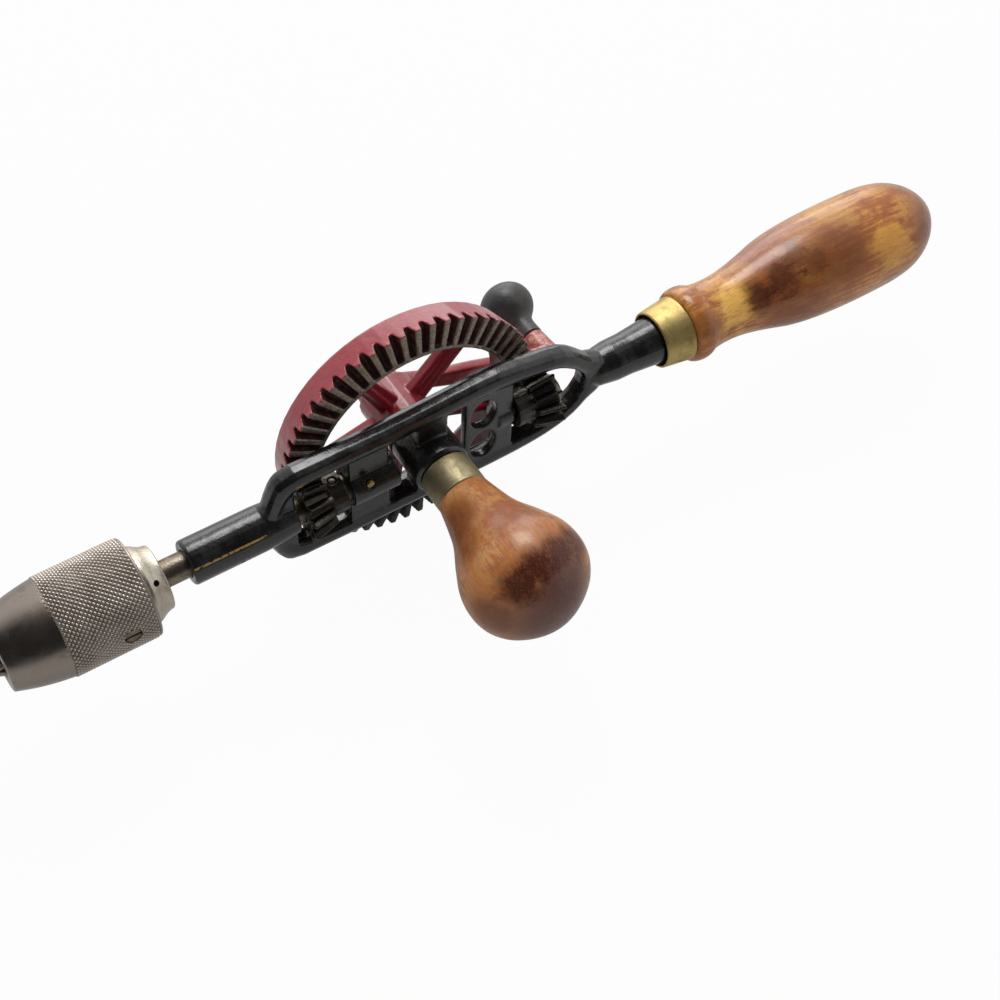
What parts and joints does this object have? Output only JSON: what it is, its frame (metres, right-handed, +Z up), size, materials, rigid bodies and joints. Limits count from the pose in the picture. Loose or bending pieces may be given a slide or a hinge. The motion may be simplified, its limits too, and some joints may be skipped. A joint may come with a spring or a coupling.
{
  "type": "hand drill",
  "caption": "Open-frame hand drill: a cranked bevel gear wheel drives a spindle with a self-centring jaw chuck; wooden main handle and side knob.",
  "frame": {"origin": "centre of the bounding box in plan, at the height of the gear wheel's lowest point", "axes": "+X along the spindle from the chuck to the main handle, +Y along the gear axis from the side knob to the crank, +Z up"},
  "size_m": [0.3572, 0.1404, 0.0928],
  "materials": {
    "frame_japan": "worn gloss black japan over cast iron",
    "bearing_brass": "dull",
    "screw_steel": "aged steel",
    "pinion_steel": "worn and browned",
    "wheel_red": "worn red enamel over cast iron, bare teeth",
    "crank_red": "worn red enamel",
    "crank_knob_iron": "worn black",
    "spindle_steel": "aged steel",
    "collar_nickel": "warm worn nickel",
    "chuck_steel": "worn knurled steel",
    "jaw_steel": "dark hardened steel",
    "ferrule_brass": "satin",
    "side_ferrule_brass": "worn pale",
    "handle_wood": "worn amber varnish",
    "knob_wood": "worn amber varnish"
  },
  "bodies": {
    "root": {"frame_casting": "frame_japan", "bearing_pin": "bearing_brass", "thrust_plug": "screw_steel", "gear_axle_screw": "screw_steel", "idler_stud": "screw_steel", "main_ferrule": "ferrule_brass", "main_handle": "handle_wood", "side_ferrule": "side_ferrule_brass", "side_stud": "screw_steel", "side_knob": "knob_wood"},
    "wheel": {"gear_wheel": "wheel_red", "crank_arm": "crank_red", "crank_knob_pin": "screw_steel", "axle_washer": "screw_steel"},
    "crank_grip": {"crank_knob": "crank_knob_iron"},
    "idler": {"idler_pinion": "pinion_steel"},
    "spindle_line": {"spindle": "spindle_steel", "spindle_pinion": "pinion_steel", "pinion_pin": "screw_steel", "thrust_ball": "screw_steel", "chuck_body": "collar_nickel"},
    "sleeve": {"chuck_sleeve": "chuck_steel", "sleeve_grub_screw": "screw_steel"},
    "jaw_a": {"jaw_1": "jaw_steel"},
    "jaw_b": {"jaw_2": "jaw_steel"},
    "jaw_c": {"jaw_3": "jaw_steel"}
  },
  "joints": [
    {"name": "crank_turn", "type": "hinge", "parent": "root", "child": "wheel", "pos_m": [-0.02805, 0.006, 0.0465], "axis": [0, 1, 0], "continuous": true},
    {"name": "spindle_turn", "type": "hinge", "parent": "root", "child": "spindle_line", "pos_m": [-0.02805, 0.006, 0.0465], "axis": [1, 0, 0], "continuous": true},
    {"name": "idler_turn", "type": "hinge", "parent": "root", "child": "idler", "pos_m": [-0.02805, 0.006, 0.0465], "axis": [1, 0, 0], "continuous": true},
    {"name": "knob_spin", "type": "hinge", "parent": "wheel", "child": "crank_grip", "pos_m": [0.03892, 0.0575, 0.02146], "axis": [0, 1, 0], "continuous": true},
    {"name": "sleeve_turn", "type": "hinge", "parent": "spindle_line", "child": "sleeve", "pos_m": [-0.15, 0.006, 0.0465], "axis": [1, 0, 0], "range_deg": [-540, 1800]},
    {"name": "jaw_a_slide", "type": "slide", "parent": "spindle_line", "child": "jaw_a", "axis": [-0.9718, 0, -0.236], "range_m": [-0.0031, 0.0103]},
    {"name": "jaw_b_slide", "type": "slide", "parent": "spindle_line", "child": "jaw_b", "axis": [-0.9718, 0.2044, 0.118], "range_m": [-0.0031, 0.0103]},
    {"name": "jaw_c_slide", "type": "slide", "parent": "spindle_line", "child": "jaw_c", "axis": [-0.9718, -0.2044, 0.118], "range_m": [-0.0031, 0.0103]}
  ],
  "couplings": [
    {"joint": "spindle_turn", "follows": "crank_turn", "ratio": 4.5},
    {"joint": "idler_turn", "follows": "crank_turn", "ratio": -4.5},
    {"joint": "jaw_a_slide", "follows": "sleeve_turn", "m_per_rad": 0.00032756},
    {"joint": "jaw_b_slide", "follows": "sleeve_turn", "m_per_rad": 0.00032756},
    {"joint": "jaw_c_slide", "follows": "sleeve_turn", "m_per_rad": 0.00032756}
  ]
}
